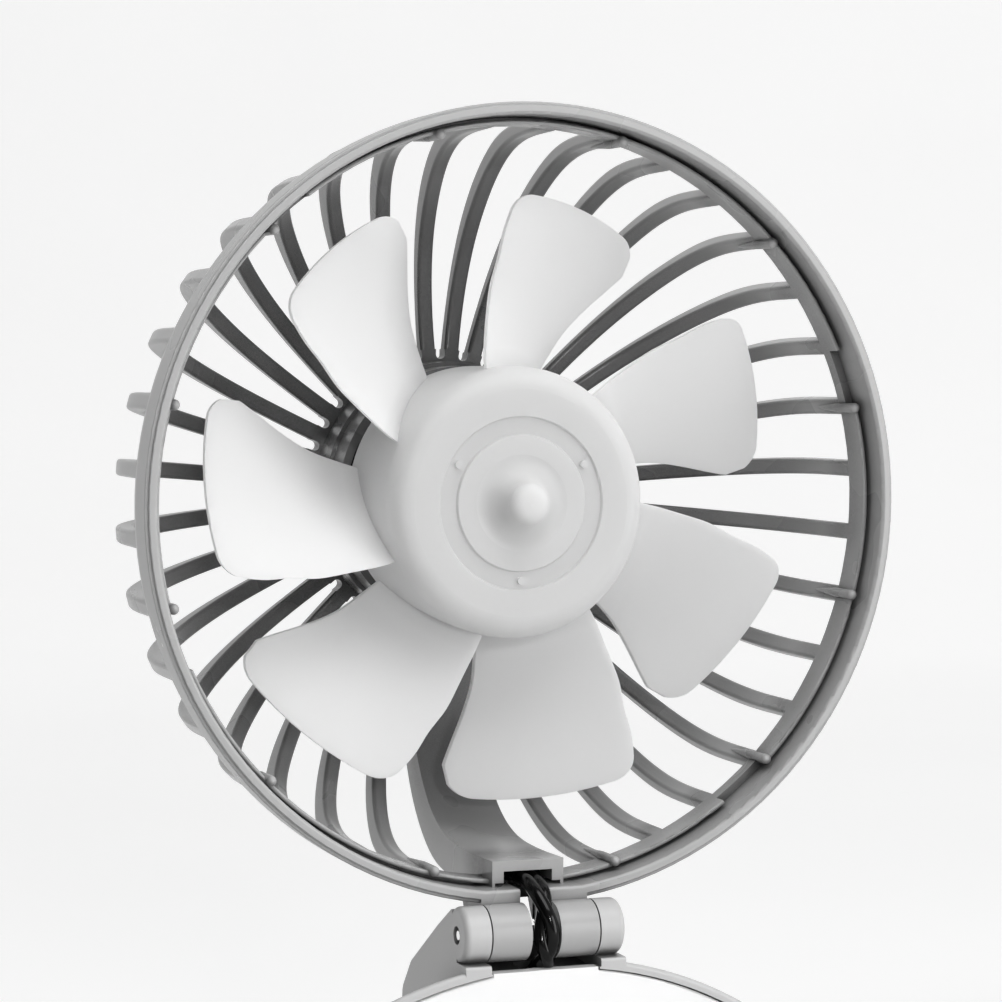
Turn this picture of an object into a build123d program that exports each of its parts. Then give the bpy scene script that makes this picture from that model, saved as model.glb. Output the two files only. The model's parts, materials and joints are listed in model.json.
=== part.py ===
from build123d import *
import math
import os

os.makedirs("parts", exist_ok=True)

# Clip fan. Millimetres, +Z up, +Y to the back, origin on the floor under the
# base's foot pad, in the middle of the object.

# ---------------------------------------------------------------- dimensions
axis_z = 163.7            # fan axis above the floor
hinge_y = -0.9            # tilt hinge axis, runs along X
hinge_z = 108.5
knuckle_r = 3.7
knuckle_in_x = (2.0, 7.4)     # head knuckles, one each side
knuckle_out_x = (7.6, 11.1)   # base knuckles
hinge_pin_r = 0.75
hinge_clear = 0.05

ring_r = 52.0             # outside of the front ring
lip_bore_r = 50.35        # bore of the ring's front lip
ledge_r = 49.3            # bore of the inner ledge behind the lip
ring_depth = 7.8
post_step = 30            # degrees between the small posts in the ring

rib_count = 34
rib_step = 10.0
rib_w = 2.2
rib_outer = [(51.3, 6.5), (51.15, 14.0), (50.85, 20.0), (49.75, 25.0), (47.1, 29.6),
             (43.0, 33.7), (37.3, 37.0), (30.0, 39.1), (20.0, 40.0)]
rib_inner = [(49.35, 6.5), (49.15, 14.0), (48.6, 19.5), (47.2, 24.0), (44.7, 28.0),
             (41.0, 31.6), (36.0, 34.8), (29.5, 37.0), (20.0, 37.7)]
disc_r = 20.4
disc_y = (37.7, 40.0)
slot_end_r = 19.0

cup_wall = (16.8, 18.0)   # motor cup wall
cup_front_y = 28.3
cup_step_y = 32.8
collar_r = (12.3, 13.8)   # collar round the rear half of the motor

hub_r = 18.0
hub_front_y = 5.7
hub_back_y = 24.0
hub_wall = 1.3
blade_count = 7
blade_tip_r = 40.7
blade_t = 1.1

can_r = 12.2
can_y = (13.5, 35.5)
shaft_r = 1.0

base_z = 49.2             # centre of the round base
base_r = 56.4             # outside of the rim
seat_r = 55.0             # bore of the rim, where the face plate sits
plate_r = 54.8
base_front_y = -4.6
dome_y0 = -10.0           # centre of the ellipse that the dome's section follows
dome_a = 57.32
dome_b = 30.2
wall = 1.8
foot_z = 0.6              # flat cut under the housing, the foot pad stands out below
neck_x = 11.1

pivot_y = 29.5            # clip pivot, runs along X
pivot_z = 58.7
clip_pin_r = 1.5
arm_t = 2.4
arm_half_w = 16.0

wire_r = 0.75
wire_x = (-0.46, 1.06)    # the twin lead's wires, side by side

fan_axis = Axis((0, 0, axis_z), (0, 1, 0))
turn_axis = Axis((0, 0, axis_z), (0, -1, 0))     # positive angles run from +X to +Z
base_axis = Axis((0, 0, base_z), (0, 1, 0))
head_plane = Plane.XY.offset(axis_z)             # local x = radius, local y = Y


def back_plane(y):
    """XZ plane at y; extruding goes towards the front."""
    return Plane.XZ.offset(-y)


def head_yz(points):
    """(radius, y) points below the fan axis as (y, z) points."""
    return [(y, axis_z - r) for r, y in points]


def polar(r, deg):
    return (r * math.cos(math.radians(deg)), r * math.sin(math.radians(deg)))


def on_face(r, deg):
    """Point at a radius and an angle about the fan axis, in an XZ sketch."""
    return (r * math.cos(math.radians(deg)), axis_z + r * math.sin(math.radians(deg)))


# ---------------------------------------------------------------- one rib
with BuildPart() as rib_form:
    with BuildSketch(head_plane) as rib_side:
        with BuildLine():
            Spline(*rib_outer)
            Line(rib_outer[-1], rib_inner[-1])
            Spline(*rib_inner)
            Line(rib_inner[0], rib_outer[0])
        make_face()
    extrude(amount=rib_w / 2, both=True)
    long_edges = [e for e in rib_form.edges().filter_by(GeomType.BSPLINE) if e.length > 30]
    fillet(long_edges, radius=0.5)

rib_angles = [5 + rib_step * k for k in range(36) if abs(5 + rib_step * k - 270) > 6]
ribs = [rib_form.part.rotate(turn_axis, a) for a in rib_angles]

# ---------------------------------------------------------------- one post
# round end at the ledge, then a tapered ridge along the rib's inner face
with BuildPart() as post_form:
    with BuildSketch(head_plane) as post_half:
        with BuildLine():
            Line((49.2, 13.5), (49.2, 2.5))
            ThreePointArc((49.2, 2.5), (49.695, 2.705), (49.9, 3.2))
            Line((49.9, 3.2), (49.85, 7.8))
            Line((49.85, 7.8), (49.4, 13.5))
            Line((49.4, 13.5), (49.2, 13.5))
        make_face()
    revolve(axis=Axis((49.2, 0, axis_z), (0, 1, 0)))
posts = [post_form.part.rotate(turn_axis, 15.0 + post_step * k) for k in range(12)]

# ---------------------------------------------------------------- spine curves
# the spine's web stands 2 mm proud of the ribs, inside the bowl
web_in = [(46.5, 2.4), (46.65, 8.0), (46.6, 14.0), (46.1, 19.0), (44.8, 23.2), (42.5, 27.0),
          (39.2, 30.2), (34.8, 33.1), (28.9, 35.1), (17.6, 36.0)]
web_out = [(47.9, 2.4), (47.8, 8.0), (47.65, 14.2), (47.1, 19.3), (45.7, 23.8), (43.25, 27.75),
           (39.8, 31.1), (35.2, 34.1), (29.1, 36.15), (17.6, 37.05)]

# ---------------------------------------------------------------- rear grille
with BuildPart() as rear_grille:
    # front ring: lip, groove, inner ledge and tapered outer wall in one section
    with BuildSketch(head_plane) as ring_section:
        with BuildLine():
            FilletPolyline(
                (lip_bore_r, 0.0), (51.5, 0.0), (51.55, 0.4), (ring_r, 0.45), (ring_r, 5.0),
                (51.45, ring_depth), (ledge_r, ring_depth), (ledge_r, 3.5), (49.9, 3.5), (49.9, 5.6),
                (lip_bore_r, 5.6),
                radius=[0.4, 0.15, 0.1, 0.2, 2.0, 0.3, 0.2, 0.25, 0.25, 0.1, 0.1], close=True)
        make_face()
    revolve(axis=fan_axis)
    # the ledge is interrupted where a front guard would turn and lock
    for start in (15.5, 127.5, 195.5, 305.5):
        with BuildSketch(back_plane(5.6)) as gap:
            with BuildLine():
                a0, a1 = start, start + 9.0
                Line(on_face(48.5, a0), on_face(lip_bore_r, a0))
                ThreePointArc(on_face(lip_bore_r, a0), on_face(lip_bore_r, a0 + 4.5),
                              on_face(lip_bore_r, a1))
                Line(on_face(lip_bore_r, a1), on_face(48.5, a1))
                Line(on_face(48.5, a1), on_face(48.5, a0))
            make_face()
        extrude(amount=3.0, mode=Mode.SUBTRACT)
    # small round posts along the ledge
    add(posts)
    # flat back disc with the round ends of the slots
    with BuildSketch(back_plane(disc_y[1])) as disc:
        with Locations((0, axis_z)):
            Circle(disc_r)
            slots = [10.0 * k for k in range(36) if abs(10.0 * k - 270) > 14]
            for a in slots:
                with Locations(Location(polar(slot_end_r + 2.0, a), a)):
                    SlotOverall(4.0, 1.34, mode=Mode.SUBTRACT)
    extrude(amount=disc_y[1] - disc_y[0])
    add(ribs)
    # spine: solid bar first, hollowed from the outside afterwards
    with BuildSketch(Plane.YZ) as spine_bar:
        with BuildLine():
            outer = head_yz([(50.3, 2.4), (50.3, 7.2)] + [(r, y) for r, y in rib_outer[1:-1]]
                            + [(17.6, 40.0)])
            inner = head_yz(web_in)
            Line(outer[0], outer[1])
            Line(outer[1], outer[2])
            Spline(*outer[2:-1])
            Line(outer[-2], outer[-1])
            Line(outer[-1], inner[-1])
            Spline(*inner)
            Line(inner[0], outer[0])
        make_face()
    extrude(amount=5.0, both=True)
    # motor cup wall, stepped towards the disc
    with BuildSketch(head_plane) as cup_section:
        with BuildLine():
            Polyline((cup_wall[0], cup_front_y), (cup_wall[1], cup_front_y),
                     (cup_wall[1], cup_step_y), (18.6, cup_step_y), (18.6, 37.9),
                     (cup_wall[0], 37.9), close=True)
        make_face()
        with BuildLine():
            Polyline((collar_r[0], 28.3), (collar_r[1], 28.3), (collar_r[1], 38.6),
                     (collar_r[0], 38.6), close=True)
        make_face()
    revolve(axis=fan_axis)
    # clear the inside of the cup, in front of the floor
    with BuildSketch(back_plane(38.4)) as cup_room:
        with Locations((0, axis_z)):
            Circle(cup_wall[0])
            Circle(collar_r[1], mode=Mode.SUBTRACT)
            Circle(collar_r[0])
    extrude(amount=38.4 - 24.0, mode=Mode.SUBTRACT)
    # bosses for the motor cover's screws
    with BuildSketch(back_plane(38.6)) as bosses:
        with Locations((0, axis_z)):
            with PolarLocations(15.3, 3, start_angle=30):
                Circle(1.9)
    extrude(amount=38.6 - 28.3)
    with BuildSketch(back_plane(37.6)) as pilots:
        with Locations((0, axis_z)):
            with PolarLocations(15.3, 3, start_angle=30):
                Circle(0.8)
    extrude(amount=37.6 - 28.3, mode=Mode.SUBTRACT)
    # cable channel, open to the outside and at its front end
    with BuildSketch(Plane.YZ) as channel:
        with BuildLine():
            ceiling = head_yz(web_out)
            Line((2.4, axis_z - 50.45), (7.9, axis_z - 50.45))
            Line((7.9, axis_z - 50.45), (7.9, axis_z - 53.0))
            Line((7.9, axis_z - 53.0), (42.0, axis_z - 53.0))
            Line((42.0, axis_z - 53.0), (42.0, axis_z - 20.4))
            Line((42.0, axis_z - 20.4), (38.95, axis_z - 20.4))
            Line((38.95, axis_z - 20.4), (38.95, axis_z - 17.6))
            Line((38.95, axis_z - 17.6), ceiling[-1])
            Spline(*ceiling)
            Line(ceiling[0], (2.4, axis_z - 50.45))
        make_face()
    extrude(amount=3.4, both=True, mode=Mode.SUBTRACT)
    # slot for the wires through the cup wall and the collar
    with BuildSketch(Plane.YZ) as wire_slot:
        with Locations((37.85, axis_z - 15.0)):
            Rectangle(1.9, 7.0)
    extrude(amount=2.1, both=True, mode=Mode.SUBTRACT)
    # lip and ledge are cut away in front of the spine
    with BuildSketch(back_plane(2.4)) as lip_gap:
        with Locations((0, axis_z - 48.3)):
            Rectangle(11.6, 4.6)
    extrude(amount=4.0, mode=Mode.SUBTRACT)
    # gap under the spine's legs
    with BuildSketch(back_plane(6.0)) as leg_gap:
        with Locations((0, axis_z - 50.0)):
            Rectangle(9.2, 1.2)
    extrude(amount=7.0, mode=Mode.SUBTRACT)
    # hinge knuckles and the blocks that join them to the ring
    for side in (1, -1):
        with BuildSketch(Plane.YZ.offset(side * knuckle_in_x[0])) as knuckle:
            with Locations((hinge_y, hinge_z)):
                Circle(knuckle_r)
        extrude(amount=side * (knuckle_in_x[1] - knuckle_in_x[0]))
        with BuildSketch(Plane.YZ.offset(side * 1.8)) as block:
            with BuildLine():
                FilletPolyline((0.0, 110.0), (0.0, 113.8), (6.6, 113.8), (7.4, 112.2), (5.6, 109.0),
                               (2.0, 106.5), (-0.9, 108.5),
                               radius=[0.0, 0.4, 0.4, 0.4, 2.0, 0.0, 0.0], close=True)
            make_face()
        extrude(amount=side * 5.6)
        with BuildSketch(Plane.YZ.offset(side * (knuckle_in_x[0] + 0.4))) as knuckle_bore:
            with Locations((hinge_y, hinge_z)):
                Circle(hinge_pin_r + hinge_clear)
        extrude(amount=side * 6.0, mode=Mode.SUBTRACT)
    # room for the lead between the knuckles, through the foot of the ring
    with BuildSketch(back_plane(5.2)) as lead_gap:
        with Locations((0, axis_z - 52.0)):
            Rectangle(4.0, 6.4)
    extrude(amount=7.0, mode=Mode.SUBTRACT)
rear_grille.part.label = "rear_grille"
export_step(rear_grille.part, "parts/rear_grille.step")

# ---------------------------------------------------------------- spine cover
with BuildPart() as spine_cover:
    with BuildSketch(Plane.YZ) as cover_side:
        with BuildLine():
            skin = head_yz([(51.15, 8.05)] + rib_outer[1:-1] + [(20.5, 39.95)])
            under = head_yz([(50.15, 8.05), (50.1, 14.0), (49.8, 19.8), (48.7, 24.5), (46.2, 28.9),
                             (42.3, 32.8), (36.85, 36.0), (29.85, 38.1), (20.5, 38.95)])
            Spline(*skin)
            Line(skin[-1], under[-1])
            Spline(*under)
            Line(under[0], skin[0])
        make_face()
    extrude(amount=3.3, both=True)
spine_cover.part.label = "spine_cover"
export_step(spine_cover.part, "parts/spine_cover.step")

# ---------------------------------------------------------------- rotor
blade_mid = 131.0
# blade edges seen from the front, as radius and angle, for the first blade
lead_edge = [(16.8, 154.0), (19.0, 153.3), (23.0, 151.0), (26.0, 149.5), (29.0, 148.0),
             (32.5, 145.6), (35.2, 144.5), (38.0, 142.9), (blade_tip_r, 141.2)]
trail_edge = [(16.8, 115.3), (19.0, 115.0), (22.0, 114.5), (25.0, 113.8), (28.0, 112.3),
              (31.0, 110.5), (34.0, 108.8), (37.0, 107.5), (blade_tip_r, 106.6)]


def edge_at(edge, r):
    for (r0, a0), (r1, a1) in zip(edge, edge[1:]):
        if r <= r1:
            return a0 + (a1 - a0) * (r - r0) / (r1 - r0)
    return edge[-1][1]


def blade_y(r, ang):
    """Height of the blade's middle surface at a radius and an angle."""
    a, b = edge_at(lead_edge, r), edge_at(trail_edge, r)
    ya = 9.9 + (8.3 - 9.9) * (r - 18.0) / 22.0
    yb = 22.2 + (20.8 - 22.2) * (r - 18.0) / 22.0
    return ya + (yb - ya) * (a - ang) / (a - b)


stations = [12.0, 20.0, 28.0, 36.0, 43.5]
with BuildPart() as blade_sheet:
    for s in stations:
        station_plane = Plane(
            origin=(s * math.cos(math.radians(blade_mid)), 0,
                    axis_z + s * math.sin(math.radians(blade_mid))),
            x_dir=(-math.sin(math.radians(blade_mid)), 0, math.cos(math.radians(blade_mid))),
            z_dir=(math.cos(math.radians(blade_mid)), 0, math.sin(math.radians(blade_mid))))
        reach = 10.5 + 0.12 * s
        front_pts, back_pts = [], []
        for k in range(5):
            t = reach * (1 - k / 2.0)
            r = math.hypot(s, t)
            ang = blade_mid + math.degrees(math.atan2(t, s))
            y = blade_y(min(max(r, 17.0), 41.4), ang)
            # local y of the station plane runs towards -Y
            front_pts.append((t, -(y - blade_t / 2)))
            back_pts.append((t, -(y + blade_t / 2)))
        with BuildSketch(station_plane) as section:
            with BuildLine():
                Spline(*front_pts)
                Line(front_pts[-1], back_pts[-1])
                Spline(*reversed(back_pts))
                Line(back_pts[0], front_pts[0])
            make_face()
    loft()

with BuildPart() as blade_outline:
    with BuildSketch(back_plane(26.0)) as outline:
        with BuildLine():
            up = [on_face(r, a) for r, a in lead_edge]
            down = [on_face(r, a) for r, a in reversed(trail_edge)]
            Spline(*up)
            ThreePointArc(up[-1], on_face(blade_tip_r, blade_mid - 7.0), down[0])
            Spline(*down)
            Line(down[-1], up[0])
        make_face()
    extrude(amount=22.0)
    tip_edges = [e for e in blade_outline.edges().filter_by(Axis.Y)
                 if math.hypot(e.center().X, e.center().Z - axis_z) > blade_tip_r - 0.5]
    fillet(tip_edges, radius=3.5)
    add(blade_sheet.part, mode=Mode.INTERSECT)

blades = [blade_outline.part.rotate(turn_axis, -360.0 / blade_count * k) for k in range(blade_count)]

with BuildPart() as fan_rotor:
    with BuildSketch(head_plane) as hub_section:
        with BuildLine():
            Line((0, 1.8), (1.2, 1.85))
            ThreePointArc((1.2, 1.85), (2.3, 2.2), (2.85, 3.0))
            Line((2.85, 3.0), (2.85, 3.4))
            ThreePointArc((2.85, 3.4), (3.7, 4.95), (6.4, hub_front_y))
            Polyline((6.4, hub_front_y), (8.9, hub_front_y), (9.1, 6.05), (11.3, 6.05),
                     (11.5, hub_front_y), (15.0, hub_front_y))
            ThreePointArc((15.0, hub_front_y), (17.12, 6.58), (hub_r, 8.7))
            Line((hub_r, 8.7), (hub_r, hub_back_y))
            Line((hub_r, hub_back_y), (hub_r - hub_wall, hub_back_y))
            Line((hub_r - hub_wall, hub_back_y), (hub_r - hub_wall, 8.9))
            ThreePointArc((hub_r - hub_wall, 8.9), (16.2, 7.65), (14.9, 7.2))
            Polyline((14.9, 7.2), (2.9, 7.2), (2.7, 11.6), (shaft_r, 11.6), (shaft_r, 4.2), (0, 4.2),
                     (0, 1.8))
        make_face()
    revolve(axis=fan_axis)
    # three pips in the recess
    with BuildSketch(back_plane(6.3)) as pips:
        with Locations((0, axis_z)):
            with PolarLocations(10.2, 3, start_angle=30):
                Circle(0.5)
    extrude(amount=0.7)
    add(blades)
    # keep the inside of the hub clear behind the blade roots
    with BuildSketch(head_plane) as hub_room:
        with BuildLine():
            Polyline((12.0, 8.9), (hub_r - hub_wall, 8.9), (hub_r - hub_wall, 30.0), (12.0, 30.0),
                     close=True)
        make_face()
    revolve(axis=fan_axis, mode=Mode.SUBTRACT)
fan_rotor.part.label = "fan_rotor"
export_step(fan_rotor.part, "parts/fan_rotor.step")

# ---------------------------------------------------------------- motor
with BuildPart() as motor_cover:
    with BuildSketch(head_plane) as cover_section:
        with BuildLine():
            Polyline((8.6, 12.3), (13.6, 12.3), (13.6, 27.0), (16.6, 27.0), (16.6, 28.25),
                     (12.3, 28.25), (12.3, can_y[0]), (8.6, can_y[0]), close=True)
        make_face()
    revolve(axis=fan_axis)
    with BuildSketch(back_plane(29.0)) as cover_holes:
        with Locations((0, axis_z)):
            with PolarLocations(15.3, 3, start_angle=30):
                Circle(1.05)
    extrude(amount=3.0, mode=Mode.SUBTRACT)
motor_cover.part.label = "motor_cover"
export_step(motor_cover.part, "parts/motor_cover.step")

with BuildPart() as motor_screws:
    with BuildSketch(back_plane(27.0)) as heads:
        with Locations((0, axis_z)):
            with PolarLocations(15.3, 3, start_angle=30):
                Circle(1.3)
    extrude(amount=1.1)
    with BuildSketch(back_plane(34.0)) as shanks:
        with Locations((0, axis_z)):
            with PolarLocations(15.3, 3, start_angle=30):
                Circle(0.8)
    extrude(amount=34.0 - 26.5)
    with BuildSketch(back_plane(26.5)) as drives:
        with Locations((0, axis_z)):
            with PolarLocations(15.3, 3, start_angle=30):
                Rectangle(1.5, 0.4)
                Rectangle(0.4, 1.5)
    extrude(amount=1.0, mode=Mode.SUBTRACT)
motor_screws.part.label = "motor_screws"
export_step(motor_screws.part, "parts/motor_screws.step")

with BuildPart() as motor_can:
    with BuildSketch(head_plane) as can_section:
        with BuildLine():
            Polyline((2.0, 12.2), (3.0, 12.2), (3.0, can_y[0]), (11.6, can_y[0]), (can_r, 14.1),
                     (can_r, can_y[1]), (can_r - 0.8, can_y[1]), (can_r - 0.8, 14.3), (2.0, 14.3),
                     close=True)
        make_face()
    revolve(axis=fan_axis)
motor_can.part.label = "motor_can"
export_step(motor_can.part, "parts/motor_can.step")

with BuildPart() as motor_front_bush:
    with BuildSketch(head_plane) as front_bush_section:
        with BuildLine():
            Polyline((shaft_r + 0.03, 12.2), (2.0, 12.2), (2.0, 15.4), (shaft_r + 0.03, 15.4),
                     close=True)
        make_face()
    revolve(axis=fan_axis)
motor_front_bush.part.label = "motor_front_bush"
export_step(motor_front_bush.part, "parts/motor_front_bush.step")

with BuildPart() as motor_end_cap:
    with BuildSketch(head_plane) as end_cap_section:
        with BuildLine():
            Polyline((2.0, 33.6), (can_r - 0.8, 33.6), (can_r - 0.8, can_y[1]), (can_r, can_y[1]),
                     (can_r, 36.6), (2.0, 36.6), close=True)
        make_face()
    revolve(axis=fan_axis)
    with BuildSketch(back_plane(36.6)) as brush_slots:
        with Locations((3.6, axis_z), (-3.6, axis_z)):
            Rectangle(1.0, 2.4)
    extrude(amount=3.0, mode=Mode.SUBTRACT)
motor_end_cap.part.label = "motor_end_cap"
export_step(motor_end_cap.part, "parts/motor_end_cap.step")

with BuildPart() as motor_rear_bush:
    with BuildSketch(head_plane) as rear_bush_section:
        with BuildLine():
            Polyline((shaft_r + 0.03, 33.6), (2.0, 33.6), (2.0, 36.6), (shaft_r + 0.03, 36.6),
                     close=True)
        make_face()
    revolve(axis=fan_axis)
motor_rear_bush.part.label = "motor_rear_bush"
export_step(motor_rear_bush.part, "parts/motor_rear_bush.step")

with BuildPart() as motor_magnets:
    with BuildSketch(back_plane(29.5)) as magnet_arcs:
        with Locations((0, axis_z)):
            Circle(can_r - 0.85)
            Circle(9.0, mode=Mode.SUBTRACT)
            Rectangle(30.0, 7.0, mode=Mode.SUBTRACT)
    extrude(amount=29.5 - 16.0)
motor_magnets.part.label = "motor_magnets"
export_step(motor_magnets.part, "parts/motor_magnets.step")

with BuildPart() as motor_shaft:
    with BuildSketch(back_plane(36.5)) as shaft_round:
        with Locations((0, axis_z)):
            Circle(shaft_r)
    extrude(amount=36.5 - 4.3)
    chamfer(motor_shaft.edges().filter_by(GeomType.CIRCLE), length=0.2)
motor_shaft.part.label = "motor_shaft"
export_step(motor_shaft.part, "parts/motor_shaft.step")

with BuildPart() as motor_armature:
    with BuildSketch(back_plane(28.5)) as star:
        with Locations((0, axis_z)):
            Circle(8.4)
            Circle(6.9, mode=Mode.SUBTRACT)
            for a in (30, 150, 270):
                with Locations(Location(polar(7.65, a), a)):
                    Rectangle(3.0, 1.6, mode=Mode.SUBTRACT)
            Circle(2.6)
            for a in (90, 210, 330):
                with Locations(Location(polar(4.7, a), a)):
                    Rectangle(5.0, 3.0)
            Circle(shaft_r, mode=Mode.SUBTRACT)
    extrude(amount=28.5 - 17.5)
motor_armature.part.label = "motor_armature"
export_step(motor_armature.part, "parts/motor_armature.step")

with BuildPart() as motor_windings:
    with BuildSketch(back_plane(29.3)) as coils:
        with Locations((0, axis_z)):
            for a in (90, 210, 330):
                with Locations(Location(polar(4.65, a), a)):
                    Rectangle(2.7, 6.0)
                    Rectangle(3.0, 3.04, mode=Mode.SUBTRACT)
    extrude(amount=29.3 - 16.7)
    with BuildSketch(back_plane(29.3)) as coil_ends:
        with Locations((0, axis_z)):
            for a in (90, 210, 330):
                with Locations(Location(polar(4.65, a), a)):
                    Rectangle(2.7, 3.4)
    extrude(amount=0.78)
    with BuildSketch(back_plane(17.48)) as coil_ends_front:
        with Locations((0, axis_z)):
            for a in (90, 210, 330):
                with Locations(Location(polar(4.65, a), a)):
                    Rectangle(2.7, 3.4)
    extrude(amount=0.78)
motor_windings.part.label = "motor_windings"
export_step(motor_windings.part, "parts/motor_windings.step")

with BuildPart() as motor_commutator:
    with BuildSketch(head_plane) as commutator_section:
        with BuildLine():
            Polyline((shaft_r, 29.6), (3.2, 29.6), (3.2, 30.1), (2.5, 30.1), (2.5, 33.2),
                     (shaft_r, 33.2), close=True)
        make_face()
    revolve(axis=fan_axis)
motor_commutator.part.label = "motor_commutator"
export_step(motor_commutator.part, "parts/motor_commutator.step")

with BuildPart() as motor_brushes:
    with BuildSketch(back_plane(38.1)) as brush_strips:
        with Locations((3.6, axis_z), (-3.6, axis_z)):
            Rectangle(0.5, 2.2)
    extrude(amount=38.1 - 30.6)
    with BuildSketch(back_plane(32.6)) as brush_tips:
        with Locations((2.98, axis_z), (-2.98, axis_z)):
            Rectangle(0.86, 1.4)
    extrude(amount=1.8)
motor_brushes.part.label = "motor_brushes"
export_step(motor_brushes.part, "parts/motor_brushes.step")

# ---------------------------------------------------------------- twin lead
head_route = [(37.55, axis_z - 5.5), (37.6, axis_z - 12.5), (38.0, axis_z - 20.5), (37.1, axis_z - 29.8),
              (34.95, axis_z - 36.3), (31.7, axis_z - 41.2), (28.0, axis_z - 44.9),
              (23.9, axis_z - 47.35), (18.6, axis_z - 48.45), (12.5, axis_z - 48.85),
              (7.6, axis_z - 49.0), (3.4, axis_z - 49.1)]


def bend_radii(route, share):
    radii = []
    for p, q, n in zip(route, route[1:], route[2:]):
        v0 = (q[0] - p[0], q[1] - p[1])
        v1 = (n[0] - q[0], n[1] - q[1])
        l0, l1 = math.hypot(*v0), math.hypot(*v1)
        turn = math.acos(max(-1, min(1, (v0[0] * v1[0] + v0[1] * v1[1]) / (l0 * l1))))
        radii.append(share * min(l0, l1) / math.tan(turn / 2))
    return radii


head_radii = bend_radii(head_route, 0.45)
print("head lead radii", [round(r, 1) for r in head_radii])
with BuildPart() as motor_cable:
    for x in wire_x:
        with BuildLine(Plane.YZ.offset(x)) as head_path:
            FilletPolyline(*head_route, radius=head_radii)
        with BuildSketch(Plane(origin=head_path.line @ 0, z_dir=head_path.line % 0)) as head_wire:
            Circle(wire_r)
        sweep(path=head_path.line)
motor_cable.part.label = "motor_cable"
export_step(motor_cable.part, "parts/motor_cable.step")

neck_route = [(3.3, axis_z - 49.1), (0.2, axis_z - 49.3), (-3.5, axis_z - 52.4), (-4.2, axis_z - 56.2),
              (-1.2, axis_z - 60.0), (0.35, axis_z - 61.9)]
neck_radii = bend_radii(neck_route, 0.45)
print("neck lead radii", [round(r, 1) for r in neck_radii])
with BuildPart() as hinge_cable:
    for x in wire_x:
        with BuildLine(Plane.YZ.offset(x)) as neck_path:
            FilletPolyline(*neck_route, radius=neck_radii)
        with BuildSketch(Plane(origin=neck_path.line @ 0, z_dir=neck_path.line % 0)) as neck_wire:
            Circle(wire_r)
        sweep(path=neck_path.line)
hinge_cable.part.label = "hinge_cable"
export_step(hinge_cable.part, "parts/hinge_cable.step")

base_route = [(0.38, axis_z - 61.95), (3.0, axis_z - 66.3), (3.9, axis_z - 74.5),
              (3.3, axis_z - 83.0), (3.8, axis_z - 92.0), (3.3, axis_z - 101.0),
              (3.7, axis_z - 107.5), (3.2, axis_z - 113.2)]
base_radii = bend_radii(base_route, 0.45)
print("base lead radii", [round(r, 1) for r in base_radii])
with BuildPart() as base_cable:
    for x in wire_x:
        with BuildLine(Plane.YZ.offset(x)) as base_path:
            FilletPolyline(*base_route, radius=base_radii)
        with BuildSketch(Plane(origin=base_path.line @ 0, z_dir=base_path.line % 0)) as base_wire:
            Circle(wire_r)
        sweep(path=base_path.line)
base_cable.part.label = "base_cable"
export_step(base_cable.part, "parts/base_cable.step")

# ---------------------------------------------------------------- hinge pins
with BuildPart() as hinge_pins:
    for side in (1, -1):
        with BuildSketch(Plane.YZ.offset(side * 2.6)) as pin_round:
            with Locations((hinge_y, hinge_z)):
                Circle(hinge_pin_r)
        extrude(amount=side * 8.3)
    chamfer(hinge_pins.edges().filter_by(GeomType.CIRCLE), length=0.15)
hinge_pins.part.label = "hinge_pins"
export_step(hinge_pins.part, "parts/hinge_pins.step")


# ---------------------------------------------------------------- base housing
def dome_points(inset):
    """Apex and three points of the dome's half section, each moved inwards by inset."""
    pts, apex = [], (0.0, dome_y0 + dome_b - inset)
    for deg, slope in ((60.0, 16.2), (35.0, 35.6), (dome_start, 70.0)):
        x = dome_a * math.cos(math.radians(deg)) - inset * math.sin(math.radians(slope))
        y = dome_y0 + dome_b * math.sin(math.radians(deg)) - inset * math.cos(math.radians(slope))
        pts.append((x, y))
    return [apex] + pts


dome_start = math.degrees(math.asin((base_front_y - dome_y0) / dome_b))
base_plane = Plane.XY.offset(base_z)
screw_xz = [(27.0, 27.0), (-27.0, 27.0), (27.0, -27.0), (-27.0, -27.0)]

with BuildPart() as cavity_form:
    with BuildSketch(base_plane) as cavity_section:
        with BuildLine():
            p0, p1, p2, p3 = dome_points(wall)
            in_1 = TangentArc(p0, p1, tangent=(1, 0))
            in_2 = TangentArc(p1, p2, tangent=in_1 % 1)
            in_3 = TangentArc(p2, p3, tangent=in_2 % 1)
            Polyline(in_3 @ 1, (0, p3[1]), p0)
        make_face()
    revolve(axis=base_axis)
    # the cavity ends at the seat of the face plate
    with BuildSketch(back_plane(-2.6)) as in_front:
        Rectangle(150, 400)
    extrude(amount=20, mode=Mode.SUBTRACT)
    # keep a floor above the flat foot
    with BuildSketch(Plane.XY.offset(foot_z + 3.0)) as under_floor:
        Rectangle(150, 150)
    extrude(amount=-60, mode=Mode.SUBTRACT)
    # leave the screw bosses standing
    with BuildSketch(back_plane(30.0)) as boss_rounds:
        with Locations(*[(x, base_z + z) for x, z in screw_xz]):
            Circle(3.4)
    extrude(amount=28.0, mode=Mode.SUBTRACT)

with BuildPart() as frame_form:
    with BuildSketch(base_plane) as frame_limit:
        with BuildLine():
            p0, p1, p2, p3 = dome_points(0.9)
            lim_1 = TangentArc(p0, p1, tangent=(1, 0))
            lim_2 = TangentArc(p1, p2, tangent=lim_1 % 1)
            Polyline(lim_2 @ 1, (0, p2[1]), p0)
        make_face()
    revolve(axis=base_axis)
    with BuildSketch(back_plane(25.0)) as battery_frame:
        with Locations((0, 65.0)):
            Rectangle(39.8, 33.8)
            Rectangle(37.0, 31.0, mode=Mode.SUBTRACT)
    extrude(amount=19.2, mode=Mode.INTERSECT)

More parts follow.
